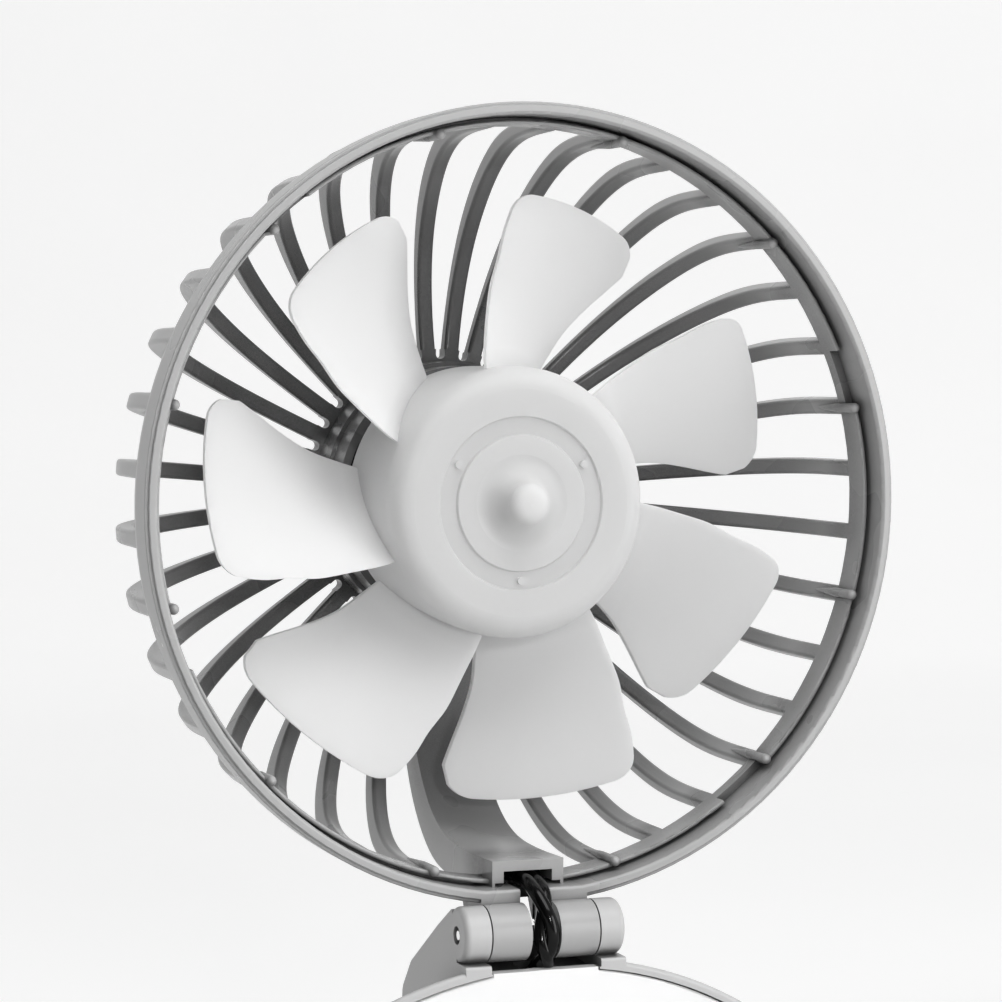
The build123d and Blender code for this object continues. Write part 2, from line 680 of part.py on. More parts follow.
with BuildPart() as outer_knuckles:
    for side in (1, -1):
        with BuildSketch(Plane.YZ.offset(side * knuckle_out_x[0])) as outer_knuckle:
            with Locations((hinge_y, hinge_z)):
                Circle(knuckle_r)
        extrude(amount=side * (knuckle_out_x[1] - knuckle_out_x[0]))
    outer_ends = [e for e in outer_knuckles.edges().filter_by(GeomType.CIRCLE)
                  if abs(e.center().X) > knuckle_out_x[1] - 0.1]
    fillet(outer_ends, radius=0.8)

with BuildPart() as base_shell:
    with BuildSketch(base_plane) as dome_outer:
        with BuildLine():
            p0, p1, p2, p3 = dome_points(0.0)
            out_1 = TangentArc(p0, p1, tangent=(1, 0))
            out_2 = TangentArc(p1, p2, tangent=out_1 % 1)
            out_3 = TangentArc(p2, p3, tangent=out_2 % 1)
            Polyline(out_3 @ 1, (0, base_front_y), p0)
        make_face()
    revolve(axis=base_axis)
    rim_edge = base_shell.edges().filter_by(GeomType.CIRCLE).sort_by(Axis.Y)[0]
    fillet(rim_edge, radius=0.5)
    # neck and rear spine, one bar from the hinge down to the clip's ears
    with BuildSketch(Plane.YZ) as neck_side:
        with BuildLine():
            FilletPolyline((base_front_y, 98.0), (base_front_y, 105.0), (-1.0, 105.0), (hinge_y, hinge_z),
                           (1.17, 111.56), (6.2, 108.6), (16.7, 101.8), (20.1, 97.6), (21.6, 75.0),
                           (21.6, 45.0), (17.5, 38.0), (10.0, 45.0), (8.0, 80.0),
                           radius=[0, 0.4, 0, 0, 0, 6.0, 2.6, 2.5, 10.0, 3.0, 0, 0, 0], close=True)
        make_face()
    extrude(amount=neck_x, both=True)
    # flat under the base
    with BuildSketch(Plane.XY.offset(foot_z)) as cut_floor:
        Rectangle(150, 150)
    extrude(amount=-20, mode=Mode.SUBTRACT)
    # raised seat of the clip's base pad
    with BuildSketch(back_plane(17.6)) as pad_seat:
        with Locations((0, 20.5)):
            RectangleRounded(28.0, 10.0, 1.5)
    extrude(amount=10.0)
    # inside
    add(cavity_form.part, mode=Mode.SUBTRACT)
    with BuildSketch(Plane.YZ) as neck_room:
        with BuildLine():
            Polyline((-2.6, 90.0), (-2.6, 101.6), (4.5, 101.6), (15.6, 98.0), (18.2, 94.5), (19.6, 74.0),
                     (19.6, 60.0), (12.0, 60.0), (5.0, 80.0), close=True)
        make_face()
    extrude(amount=9.3, both=True, mode=Mode.SUBTRACT)
    # seat of the face plate
    with BuildSketch(back_plane(-2.6)) as seat:
        with Locations((0, base_z)):
            Circle(seat_r)
        with Locations((0, 101.0)):
            Rectangle(14.8, 6.2)
    extrude(amount=4.0, mode=Mode.SUBTRACT)
    # floor strip of the foot: keep the lower edge under the face plate
    with BuildSketch(Plane.XY.offset(foot_z)) as foot_bar:
        with Locations((0, (base_front_y + 1.2) / 2)):
            Rectangle(44.0, 1.2 - base_front_y)
    extrude(amount=1.2)
    # outer knuckles
    add(outer_knuckles.part)
    # pocket for the head's knuckles, with a deeper seat for the lead's grommet
    with BuildSketch(Plane.YZ) as pocket:
        with BuildLine():
            Polyline((-7.0, 103.95), (-2.6, 103.95), (-2.6, 101.6), (9.2, 101.6), (9.2, 105.2),
                     (8.2, 105.2), (8.2, 116.0), (-7.0, 116.0), close=True)
        make_face()
    extrude(amount=knuckle_out_x[0], both=True, mode=Mode.SUBTRACT)
    # pin holes, with a wider mouth on the outside
    for side in (1, -1):
        with BuildSketch(Plane.YZ.offset(side * 7.0)) as pin_hole:
            with Locations((hinge_y, hinge_z)):
                Circle(hinge_pin_r)
        extrude(amount=side * 5.0, mode=Mode.SUBTRACT)
        with BuildSketch(Plane.YZ.offset(side * 9.0)) as pin_mouth:
            with Locations((hinge_y, hinge_z)):
                Circle(1.2)
        extrude(amount=side * 3.0, mode=Mode.SUBTRACT)
    # clip ears
    for side in (1, -1):
        with BuildSketch(Plane.YZ.offset(side * 7.1)) as ear:
            with BuildLine():
                FilletPolyline((20.5, 68.0), (pivot_y - 1.0, 63.2), (pivot_y + 4.2, 61.0),
                               (pivot_y + 4.2, 56.4), (pivot_y - 1.0, 54.2), (20.5, 47.0),
                               radius=[0, 3.0, 3.2, 3.2, 3.0, 0], close=True)
            make_face()
        extrude(amount=side * 3.2)
    with BuildSketch(Plane.YZ) as ear_bore:
        with Locations((pivot_y, pivot_z)):
            Circle(clip_pin_r)
    extrude(amount=14.0, both=True, mode=Mode.SUBTRACT)
    # face plate screws come in from behind
    with BuildSketch(back_plane(30.0)) as screw_ways:
        with Locations(*[(x, base_z + z) for x, z in screw_xz]):
            Circle(2.3)
    extrude(amount=30.0 - 5.0, mode=Mode.SUBTRACT)
    with BuildSketch(back_plane(6.0)) as screw_holes:
        with Locations(*[(x, base_z + z) for x, z in screw_xz]):
            Circle(1.15)
    extrude(amount=6.0, mode=Mode.SUBTRACT)
    # opening for the charging socket, on the right
    with BuildSketch(Plane.YZ.offset(40.0)) as usb_way:
        with Locations((5.3, 40.0)):
            RectangleRounded(3.2, 8.4, 0.8)
    extrude(amount=16.0, mode=Mode.SUBTRACT)
    # moulded frame that holds the battery
    add(frame_form.part)
    # recess for the foot pad
    with BuildSketch(Plane.XY) as foot_recess:
        with Locations((0, -1.5)):
            RectangleRounded(40.2, 4.6, 1.0)
    extrude(amount=foot_z + 0.8, mode=Mode.SUBTRACT)
base_shell.part.label = "base_shell"
export_step(base_shell.part, "parts/base_shell.step")

# ---------------------------------------------------------------- grommet under the hinge
with BuildPart() as lead_grommet:
    with BuildSketch(Plane.YZ) as grommet_side:
        with BuildLine():
            Polyline((-2.6, 101.6), (-2.6, 103.3), (5.9, 103.6), (8.2, 105.2), (9.2, 105.2),
                     (9.2, 101.6), close=True)
        make_face()
    extrude(amount=knuckle_out_x[0], both=True)
    with BuildSketch(Plane.XY.offset(101.0)) as grommet_slot:
        with Locations((0.3, 1.0)):
            RectangleRounded(4.2, 5.8, 0.8)
    extrude(amount=4.0, mode=Mode.SUBTRACT)
lead_grommet.part.label = "lead_grommet"
export_step(lead_grommet.part, "parts/lead_grommet.step")

# ---------------------------------------------------------------- face plate
button_xz = (0.0, 40.0)
led_xz = (14.0, 40.0)
with BuildPart() as face_plate:
    with BuildSketch(back_plane(-2.65)) as plate_round:
        with Locations((0, base_z)):
            Circle(plate_r)
        with Locations((0, 101.0)):
            Rectangle(14.5, 5.9)
    extrude(amount=1.75)
    fillet(face_plate.edges().filter_by(GeomType.CIRCLE).sort_by(Axis.Y)[0], radius=0.3)
    # lower edge sits on the foot of the housing
    with BuildSketch(Plane.XY.offset(1.9)) as plate_cut:
        Rectangle(150, 60)
    extrude(amount=-10, mode=Mode.SUBTRACT)
    # posts for the screws
    with BuildSketch(back_plane(1.95)) as plate_posts:
        with Locations(*[(x, base_z + z) for x, z in screw_xz]):
            Circle(3.0)
    extrude(amount=4.7)
    with BuildSketch(back_plane(1.95)) as plate_pilots:
        with Locations(*[(x, base_z + z) for x, z in screw_xz]):
            Circle(0.95)
    extrude(amount=4.5, mode=Mode.SUBTRACT)
    # button hole with a guide collar, and the window of the light
    with BuildSketch(back_plane(-0.6)) as collar:
        with Locations(button_xz):
            Circle(8.6)
    extrude(amount=2.2)
    with BuildSketch(back_plane(2.0)) as button_hole:
        with Locations(button_xz):
            Circle(7.25)
        with Locations(led_xz):
            Circle(1.2)
    extrude(amount=8.0, mode=Mode.SUBTRACT)
face_plate.part.label = "face_plate"
export_step(face_plate.part, "parts/face_plate.step")

with BuildPart() as face_screws:
    with BuildSketch(back_plane(6.4)) as face_screw_heads:
        with Locations(*[(x, base_z + z) for x, z in screw_xz]):
            Circle(1.9)
    extrude(amount=1.4)
    with BuildSketch(back_plane(5.2)) as face_screw_shanks:
        with Locations(*[(x, base_z + z) for x, z in screw_xz]):
            Circle(0.95)
    extrude(amount=5.2 + 1.8)
    with BuildSketch(back_plane(6.6)) as face_screw_drives:
        with Locations(*[(x, base_z + z) for x, z in screw_xz]):
            Rectangle(2.2, 0.5)
            Rectangle(0.5, 2.2)
    extrude(amount=0.9, mode=Mode.SUBTRACT)
face_screws.part.label = "face_screws"
export_step(face_screws.part, "parts/face_screws.step")

# ---------------------------------------------------------------- button and electronics
with BuildPart() as power_button:
    with BuildSketch(back_plane(-0.4)) as button_round:
        with Locations(button_xz):
            Circle(7.1)
    extrude(amount=4.6)
    fillet(power_button.edges().filter_by(GeomType.CIRCLE).sort_by(Axis.Y)[0], radius=0.6)
    with BuildSketch(back_plane(0.15)) as button_flange:
        with Locations(button_xz):
            Circle(8.3)
    extrude(amount=0.7)
    with BuildSketch(back_plane(0.55)) as button_nose:
        with Locations(button_xz):
            Circle(1.6)
    extrude(amount=1.0)
power_button.part.label = "power_button"
export_step(power_button.part, "parts/power_button.step")

board_front_y = 2.6
with BuildPart() as circuit_board:
    with BuildSketch(back_plane(board_front_y + 1.2)) as board:
        with Locations((14.0, 40.0)):
            Rectangle(58.0, 20.0)
    extrude(amount=1.2)
circuit_board.part.label = "circuit_board"
export_step(circuit_board.part, "parts/circuit_board.step")

with BuildPart() as tact_switch:
    with BuildSketch(back_plane(board_front_y)) as switch_body:
        with Locations(button_xz):
            RectangleRounded(5.0, 5.0, 0.4)
    extrude(amount=1.1)
    with BuildSketch(back_plane(board_front_y - 1.0)) as switch_cap:
        with Locations(button_xz):
            Circle(1.2)
    extrude(amount=0.55)
tact_switch.part.label = "tact_switch"
export_step(tact_switch.part, "parts/tact_switch.step")

with BuildPart() as status_window:
    with BuildSketch(back_plane(board_front_y - 0.8)) as window_rod:
        with Locations(led_xz):
            Circle(1.15)
    extrude(amount=board_front_y - 0.8 + 4.35)
status_window.part.label = "status_window"
export_step(status_window.part, "parts/status_window.step")

with BuildPart() as usb_socket:
    with BuildSketch(Plane.YZ.offset(42.4)) as socket_box:
        with Locations((5.3, 40.0)):
            RectangleRounded(2.6, 7.6, 0.6)
    extrude(amount=6.0)
    with BuildSketch(Plane.YZ.offset(43.4)) as socket_room:
        with Locations((5.3, 40.0)):
            RectangleRounded(2.0, 7.0, 0.4)
    extrude(amount=8.0, mode=Mode.SUBTRACT)
    with BuildSketch(Plane.YZ.offset(43.2)) as socket_tongue:
        with Locations((5.3, 40.0)):
            Rectangle(0.6, 5.2)
    extrude(amount=4.4)
usb_socket.part.label = "usb_socket"
export_step(usb_socket.part, "parts/usb_socket.step")

with BuildPart() as battery_cell:
    with BuildSketch(back_plane(11.0)) as cell:
        with Locations((0, 65.0)):
            RectangleRounded(36.4, 30.4, 1.5)
    extrude(amount=6.0)
battery_cell.part.label = "battery_cell"
export_step(battery_cell.part, "parts/battery_cell.step")

with BuildPart() as foot_pad:
    with BuildSketch(Plane.XY) as pad:
        with Locations((0, -1.5)):
            RectangleRounded(40.0, 4.4, 0.9)
    extrude(amount=foot_z + 0.8)
foot_pad.part.label = "foot_pad"
export_step(foot_pad.part, "parts/foot_pad.step")

# ---------------------------------------------------------------- clip
arm_line = [(43.4, 85.5), (37.6, 68.0), (35.2, 58.0), (33.0, 45.0), (21.0, 26.0), (21.0, 15.5),
            (32.5, 1.2), (39.0, 1.2)]


def thicken(line, t):
    """Closed outline of constant thickness along a line of points."""
    left, right = [], []
    n = len(line)
    for i in range(n):
        dirs = []
        if i > 0:
            d = (line[i][0] - line[i - 1][0], line[i][1] - line[i - 1][1])
            dirs.append((d[0] / math.hypot(*d), d[1] / math.hypot(*d)))
        if i < n - 1:
            d = (line[i + 1][0] - line[i][0], line[i + 1][1] - line[i][1])
            dirs.append((d[0] / math.hypot(*d), d[1] / math.hypot(*d)))
        nx = sum(-d[1] for d in dirs)
        ny = sum(d[0] for d in dirs)
        norm = math.hypot(nx, ny)
        nx, ny = nx / norm, ny / norm
        cosv = nx * -dirs[0][1] + ny * dirs[0][0]
        k = t / 2 / cosv
        left.append((line[i][0] + nx * k, line[i][1] + ny * k))
        right.append((line[i][0] - nx * k, line[i][1] - ny * k))
    return left + right[::-1]


arm_outline = thicken(arm_line, arm_t)
with BuildPart() as clip_arm:
    with BuildSketch(Plane.YZ) as arm_side:
        with BuildLine():
            bends = [1.1, 18.0, 30.0, 12.0, 8.0, 6.0, 3.0, 0.6]
            FilletPolyline(*arm_outline, radius=bends + bends[::-1], close=True)
        make_face()
    extrude(amount=arm_half_w, both=True)
    # round the corners of the handle and of the foot
    upright = [e for e in clip_arm.edges().filter_by(lambda e: abs(abs(e.center().X) - arm_half_w) < 0.01)]
    with BuildSketch(back_plane(60.0)) as arm_front:
        with Locations((0, 42.7)):
            RectangleRounded(2 * arm_half_w, 90.0, 7.0)
        with Locations((0, 20.0)):
            Rectangle(2 * arm_half_w, 45.0)
    extrude(amount=60.0, mode=Mode.INTERSECT)
    # grip ridges on the handle
    for k in range(3):
        f = 0.18 + 0.16 * k
        cy = arm_line[0][0] + (arm_line[1][0] - arm_line[0][0]) * f
        cz = arm_line[0][1] + (arm_line[1][1] - arm_line[0][1]) * f
        with BuildSketch(Plane.YZ) as ridge:
            with Locations((cy + 1.15, cz - 0.3)):
                Circle(0.7)
        extrude(amount=9.0, both=True)
    # ears round the pivot
    for side in (1, -1):
        with BuildSketch(Plane.YZ.offset(side * 4.5)) as arm_ear:
            with BuildLine():
                FilletPolyline((35.6, 66.0), (pivot_y - 4.0, 62.6), (pivot_y - 4.0, 54.8), (33.2, 50.0),
                               radius=[0, 3.6, 3.6, 0], close=True)
            make_face()
        extrude(amount=side * 2.4)
    with BuildSketch(Plane.YZ) as arm_bore:
        with Locations((pivot_y, pivot_z)):
            Circle(clip_pin_r + 0.05)
    extrude(amount=14.0, both=True, mode=Mode.SUBTRACT)
clip_arm.part.label = "clip_arm"
export_step(clip_arm.part, "parts/clip_arm.step")

with BuildPart() as clip_pin:
    with BuildSketch(Plane.YZ.offset(-11.2)) as pin_bar:
        with Locations((pivot_y, pivot_z)):
            Circle(clip_pin_r)
    extrude(amount=22.4)
    with BuildSketch(Plane.YZ.offset(-11.6)) as pin_head:
        with Locations((pivot_y, pivot_z)):
            Circle(2.4)
    extrude(amount=1.2)
    with BuildSketch(Plane.YZ.offset(10.4)) as pin_rivet:
        with Locations((pivot_y, pivot_z)):
            Circle(2.2)
    extrude(amount=1.0)
clip_pin.part.label = "clip_pin"
export_step(clip_pin.part, "parts/clip_pin.step")

with BuildPart() as clip_spring:
    with BuildSketch(Plane.YZ.offset(-4.1)) as coil:
        with Locations((pivot_y, pivot_z)):
            Circle(3.7)
            Circle(2.3, mode=Mode.SUBTRACT)
    extrude(amount=8.2)
    with BuildLine() as base_leg:
        Line((-3.4, pivot_y - 3.0, pivot_z), (-3.4, 22.4, 75.5))
    with BuildSketch(Plane(origin=base_leg.line @ 0, z_dir=base_leg.line % 0)) as base_leg_round:
        Circle(0.68)
    sweep(path=base_leg.line)
    with BuildLine() as arm_leg:
        Line((3.4, pivot_y + 3.0, pivot_z), (3.4, 36.4, 72.5))
    with BuildSketch(Plane(origin=arm_leg.line @ 0, z_dir=arm_leg.line % 0)) as arm_leg_round:
        Circle(0.68)
    sweep(path=arm_leg.line)
clip_spring.part.label = "clip_spring"
export_step(clip_spring.part, "parts/clip_spring.step")

with BuildPart() as clip_arm_pad:
    with BuildSketch(back_plane(19.8)) as arm_pad:
        with Locations((0, 20.5)):
            RectangleRounded(26.0, 7.0, 1.2)
    extrude(amount=1.2)
    fillet(clip_arm_pad.faces().sort_by(Axis.Y)[0].edges(), radius=0.4)
clip_arm_pad.part.label = "clip_arm_pad"
export_step(clip_arm_pad.part, "parts/clip_arm_pad.step")

with BuildPart() as base_clip_pad:
    with BuildSketch(back_plane(18.55)) as base_pad:
        with Locations((0, 20.5)):
            RectangleRounded(26.0, 8.0, 1.2)
    extrude(amount=0.95)
    fillet(base_clip_pad.faces().sort_by(Axis.Y)[-1].edges(), radius=0.4)
base_clip_pad.part.label = "base_clip_pad"
export_step(base_clip_pad.part, "parts/base_clip_pad.step")

for piece in (rear_grille, spine_cover, fan_rotor, base_shell, face_plate, clip_arm):
    print(piece.part.label, len(piece.part.solids()), round(piece.part.volume / 1000, 2), "cm3")
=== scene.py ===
import json
import math

import bpy
import bmesh
import numpy as np
from mathutils import Matrix, Vector


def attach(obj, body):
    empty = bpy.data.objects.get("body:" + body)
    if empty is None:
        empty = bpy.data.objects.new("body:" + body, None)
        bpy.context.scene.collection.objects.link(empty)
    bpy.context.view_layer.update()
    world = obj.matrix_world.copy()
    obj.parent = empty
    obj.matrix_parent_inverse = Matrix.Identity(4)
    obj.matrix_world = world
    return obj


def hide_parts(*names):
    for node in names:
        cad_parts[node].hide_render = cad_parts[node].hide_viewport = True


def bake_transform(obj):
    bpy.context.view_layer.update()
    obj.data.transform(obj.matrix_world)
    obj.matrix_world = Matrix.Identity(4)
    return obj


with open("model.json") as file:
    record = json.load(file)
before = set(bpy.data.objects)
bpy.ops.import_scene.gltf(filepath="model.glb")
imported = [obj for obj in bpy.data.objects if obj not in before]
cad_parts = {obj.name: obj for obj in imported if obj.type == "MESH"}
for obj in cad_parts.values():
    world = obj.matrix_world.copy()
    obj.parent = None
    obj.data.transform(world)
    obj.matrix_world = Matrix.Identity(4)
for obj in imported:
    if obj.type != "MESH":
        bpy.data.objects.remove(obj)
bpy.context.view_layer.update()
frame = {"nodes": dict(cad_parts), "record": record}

AXIS_Z = 0.1637                 # fan axis above the floor
HINGE = (0.0, -0.0009, 0.1085)
scene = bpy.context.scene


# ------------------------------------------------------------------ materials
def new_material(name):
    m = bpy.data.materials.new(name)
    m.use_nodes = True
    nt = m.node_tree
    nt.nodes.clear()
    out = nt.nodes.new("ShaderNodeOutputMaterial")
    bsdf = nt.nodes.new("ShaderNodeBsdfPrincipled")
    nt.links.new(bsdf.outputs["BSDF"], out.inputs["Surface"])
    return m, nt, bsdf


def noise(nt, scale, detail=3.0, rough=0.5, stretch=(1, 1, 1)):
    tc = nt.nodes.new("ShaderNodeTexCoord")
    mp = nt.nodes.new("ShaderNodeMapping")
    mp.inputs["Scale"].default_value = stretch
    nz = nt.nodes.new("ShaderNodeTexNoise")
    nz.inputs["Scale"].default_value = scale
    nz.inputs["Detail"].default_value = detail
    nz.inputs["Roughness"].default_value = rough
    nt.links.new(tc.outputs["Object"], mp.inputs["Vector"])
    nt.links.new(mp.outputs["Vector"], nz.inputs["Vector"])
    return nz


def ramp(nt, source, lo, hi, p0=0.3, p1=0.7):
    r = nt.nodes.new("ShaderNodeValToRGB")
    r.color_ramp.elements[0].position = p0
    r.color_ramp.elements[0].color = (*lo, 1)
    r.color_ramp.elements[1].position = p1
    r.color_ramp.elements[1].color = (*hi, 1)
    nt.links.new(source, r.inputs["Fac"])
    return r


def scalar(nt, source, lo, hi):
    r = nt.nodes.new("ShaderNodeMapRange")
    r.inputs["From Min"].default_value = 0.3
    r.inputs["From Max"].default_value = 0.7
    r.inputs["To Min"].default_value = lo
    r.inputs["To Max"].default_value = hi
    nt.links.new(source, r.inputs["Value"])
    return r


def bump(nt, bsdf, source, strength, distance):
    b = nt.nodes.new("ShaderNodeBump")
    b.inputs["Strength"].default_value = strength
    b.inputs["Distance"].default_value = distance
    nt.links.new(source, b.inputs["Height"])
    nt.links.new(b.outputs["Normal"], bsdf.inputs["Normal"])
    return b


def plastic(name, lo, hi, r_lo, r_hi, grain=900.0, depth=0.00004, strength=0.25, ior=1.5,
            sss=0.0, sss_scale=0.002, coat=0.0, coat_rough=0.1, painted_shade_tone=None, steps=None,
            reach=0.025, span=(0.35, 0.9)):
    m, nt, bsdf = new_material(name)
    broad = noise(nt, 38.0, 3.0)
    colour = ramp(nt, broad.outputs["Fac"], lo, hi)
    if painted_shade_tone:
        # painted shade: the plastic is painted darker where ambient occlusion finds it lying deep between other
        # surfaces
        ao = nt.nodes.new("ShaderNodeAmbientOcclusion")
        ao.samples = 8
        ao.inputs["Distance"].default_value = reach
        open_air = nt.nodes.new("ShaderNodeMapRange")
        open_air.inputs["From Min"].default_value = span[0]
        open_air.inputs["From Max"].default_value = span[1]
        nt.links.new(ao.outputs["AO"], open_air.inputs["Value"])
        painted_shade_colour = ramp(nt, broad.outputs["Fac"], painted_shade_tone, tuple(v * 1.12 for v in painted_shade_tone)).outputs["Color"]
        if steps:
            # painted shade: the painted darkening changes from the front of the piece to its back
            tc = nt.nodes.new("ShaderNodeTexCoord")
            sep = nt.nodes.new("ShaderNodeSeparateXYZ")
            nt.links.new(tc.outputs["Object"], sep.inputs["Vector"])
            back = nt.nodes.new("ShaderNodeMapRange")
            back.inputs["From Min"].default_value = 0.0
            back.inputs["From Max"].default_value = 0.040
            nt.links.new(sep.outputs["Y"], back.inputs["Value"])
            tone = nt.nodes.new("ShaderNodeValToRGB")
            tone.color_ramp.interpolation = "EASE"
            while len(tone.color_ramp.elements) < len(steps):
                tone.color_ramp.elements.new(0.5)
            for e, (y, v) in zip(tone.color_ramp.elements, steps):
                e.position = y / 0.040
                e.color = (v, v, v, 1)
            nt.links.new(back.outputs["Result"], tone.inputs["Fac"])
            vary = nt.nodes.new("ShaderNodeHueSaturation")
            nt.links.new(scalar(nt, broad.outputs["Fac"], 0.95, 1.08).outputs["Result"], vary.inputs["Value"])
            nt.links.new(tone.outputs["Color"], vary.inputs["Color"])
            painted_shade_colour = vary.outputs["Color"]
        mix = nt.nodes.new("ShaderNodeMix")
        mix.data_type = "RGBA"
        nt.links.new(open_air.outputs["Result"], mix.inputs["Factor"])
        nt.links.new(painted_shade_colour, mix.inputs["A"])
        nt.links.new(colour.outputs["Color"], mix.inputs["B"])
        nt.links.new(mix.outputs["Result"], bsdf.inputs["Base Color"])
    else:
        nt.links.new(colour.outputs["Color"], bsdf.inputs["Base Color"])
    fine = noise(nt, grain, 2.0, 0.6)
    rough = scalar(nt, broad.outputs["Fac"], r_lo, r_hi)
    nt.links.new(rough.outputs["Result"], bsdf.inputs["Roughness"])
    bump(nt, bsdf, fine.outputs["Fac"], strength, depth)
    bsdf.inputs["IOR"].default_value = ior
    if sss:
        bsdf.inputs["Subsurface Weight"].default_value = sss
        bsdf.inputs["Subsurface Radius"].default_value = (1.0, 1.0, 1.0)
        bsdf.inputs["Subsurface Scale"].default_value = sss_scale
        bsdf.inputs["Subsurface Anisotropy"].default_value = 0.3
    if coat:
        bsdf.inputs["Coat Weight"].default_value = coat
        bsdf.inputs["Coat Roughness"].default_value = coat_rough
    return m


def metal(name, lo, hi, r_lo, r_hi, scale=500.0, stretch=(1, 1, 1), strength=0.15, depth=0.00002):
    m, nt, bsdf = new_material(name)
    nz = noise(nt, scale, 4.0, 0.6, stretch)
    colour = ramp(nt, nz.outputs["Fac"], lo, hi)
    nt.links.new(colour.outputs["Color"], bsdf.inputs["Base Color"])
    rough = scalar(nt, nz.outputs["Fac"], r_lo, r_hi)
    nt.links.new(rough.outputs["Result"], bsdf.inputs["Roughness"])
    bsdf.inputs["Metallic"].default_value = 1.0
    bump(nt, bsdf, nz.outputs["Fac"], strength, depth)
    return m


def g(v):
    return (v, v, v)


def painted_shade_hub(m, factor, r0, r1):
    """Painted shade: the thick hub is painted a little greyer than the thin blades round it, standing in for less light
    on it.
    """
    nt = m.node_tree
    bsdf = next(n for n in nt.nodes if n.type == "BSDF_PRINCIPLED")
    colour = bsdf.inputs["Base Color"].links[0].from_socket
    tc = nt.nodes.new("ShaderNodeTexCoord")
    mp = nt.nodes.new("ShaderNodeMapping")
    mp.inputs["Location"].default_value = (0, 0, -AXIS_Z)
    mp.inputs["Scale"].default_value = (1, 0, 1)
    nt.links.new(tc.outputs["Object"], mp.inputs["Vector"])
    radius = nt.nodes.new("ShaderNodeVectorMath")
    radius.operation = "LENGTH"
    nt.links.new(mp.outputs["Vector"], radius.inputs[0])
    edge = nt.nodes.new("ShaderNodeMapRange")
    edge.inputs["From Min"].default_value = r0
    edge.inputs["From Max"].default_value = r1
    edge.inputs["To Min"].default_value = factor
    nt.links.new(radius.outputs["Value"], edge.inputs["Value"])
    hsv = nt.nodes.new("ShaderNodeHueSaturation")
    nt.links.new(edge.outputs["Result"], hsv.inputs["Value"])
    nt.links.new(colour, hsv.inputs["Color"])
    nt.links.new(hsv.outputs["Color"], bsdf.inputs["Base Color"])


MAT = {
    # painted shade on grille and base: darker in recesses, and on the grille in steps from the ring front to the back
    # of the bowl
    "grille_plastic": plastic("grille_plastic", g(0.42), g(0.45), 0.24, 0.32, grain=1100.0, depth=0.00002, 
                              painted_shade_tone=g(0.17),
                              # painted shade by depth: lighter ring front, dark groove, lighter ribs, darkest at the
                              # back of the bowl
                              steps=[(0.0, 0.2), (0.0038, 0.2), (0.0062, 0.06), (0.0085, 0.06),
                                     (0.015, 0.36), (0.038, 0.06)], reach=0.034, span=(0.42, 0.93)),
    "rotor_plastic": plastic("rotor_plastic", g(0.94), g(0.96), 0.46, 0.54, sss=0.55, sss_scale=0.008),
    "base_plastic": plastic("base_plastic", g(0.53), g(0.56), 0.30, 0.40, depth=0.00003, painted_shade_tone=g(0.14), reach=0.008),
    "face_gloss": plastic("face_gloss", g(0.95), g(0.96), 0.10, 0.14, grain=300.0, strength=0.02, coat=0.5),
    "black_plastic": plastic("black_plastic", g(0.02), g(0.03), 0.4, 0.5),
    "steel": metal("steel", g(0.55), g(0.68), 0.22, 0.36),
    "pin_steel": metal("pin_steel", g(0.80), g(0.92), 0.10, 0.2),
    "spring_steel": metal("spring_steel", g(0.40), g(0.52), 0.25, 0.38),
    "bronze": metal("bronze", (0.42, 0.27, 0.12), (0.55, 0.38, 0.18), 0.4, 0.55),
    "copper": metal("copper", (0.60, 0.27, 0.12), (0.76, 0.36, 0.18), 0.25, 0.4),
    "magnet": plastic("magnet", g(0.05), g(0.09), 0.6, 0.75, grain=400.0, strength=0.5),
    "cable": plastic("cable", g(0.0015), g(0.0025), 0.10, 0.16, grain=500.0, strength=0.04, ior=1.36),
    "board": plastic("board", (0.01, 0.09, 0.04), (0.015, 0.12, 0.05), 0.3, 0.42, grain=250.0),
    "clear_plastic": plastic("clear_plastic", g(0.7), g(0.75), 0.15, 0.2, sss=0.3),
    "foil": metal("foil", g(0.6), g(0.75), 0.25, 0.42, scale=120.0, strength=0.4, depth=0.0001),
    "rubber": plastic("rubber", g(0.010), g(0.018), 0.5, 0.66, grain=700.0, strength=0.4),
}
# painted shade: the hub is greyer than the blades, set by radius
painted_shade_hub(MAT["rotor_plastic"], 0.72, 0.0155, 0.0205)
slots = {s["node"]: s["material_slot"] for s in frame["record"]["subparts"]}
for name, obj in frame["nodes"].items():
    obj.data.materials.clear()
    obj.data.materials.append(MAT[slots[name]])


# ------------------------------------------------------------------ lead
def spline_points(points, resolution=12):
    """Points along a smooth NURBS spline that has these control points."""
    cu = bpy.data.curves.new("route", "CURVE")
    cu.dimensions = "3D"
    sp = cu.splines.new("NURBS")
    sp.points.add(len(points) - 1)
    for p, q in zip(sp.points, points):
        p.co = (*q, 1.0)
    sp.order_u = 3
    sp.use_endpoint_u = True
    sp.resolution_u = resolution
    ob = bpy.data.objects.new("route", cu)
    me = bpy.data.meshes.new_from_object(ob)
    pts = [v.co.copy() for v in me.vertices]
    bpy.data.objects.remove(ob)
    bpy.data.curves.remove(cu)
    bpy.data.meshes.remove(me)
    return pts


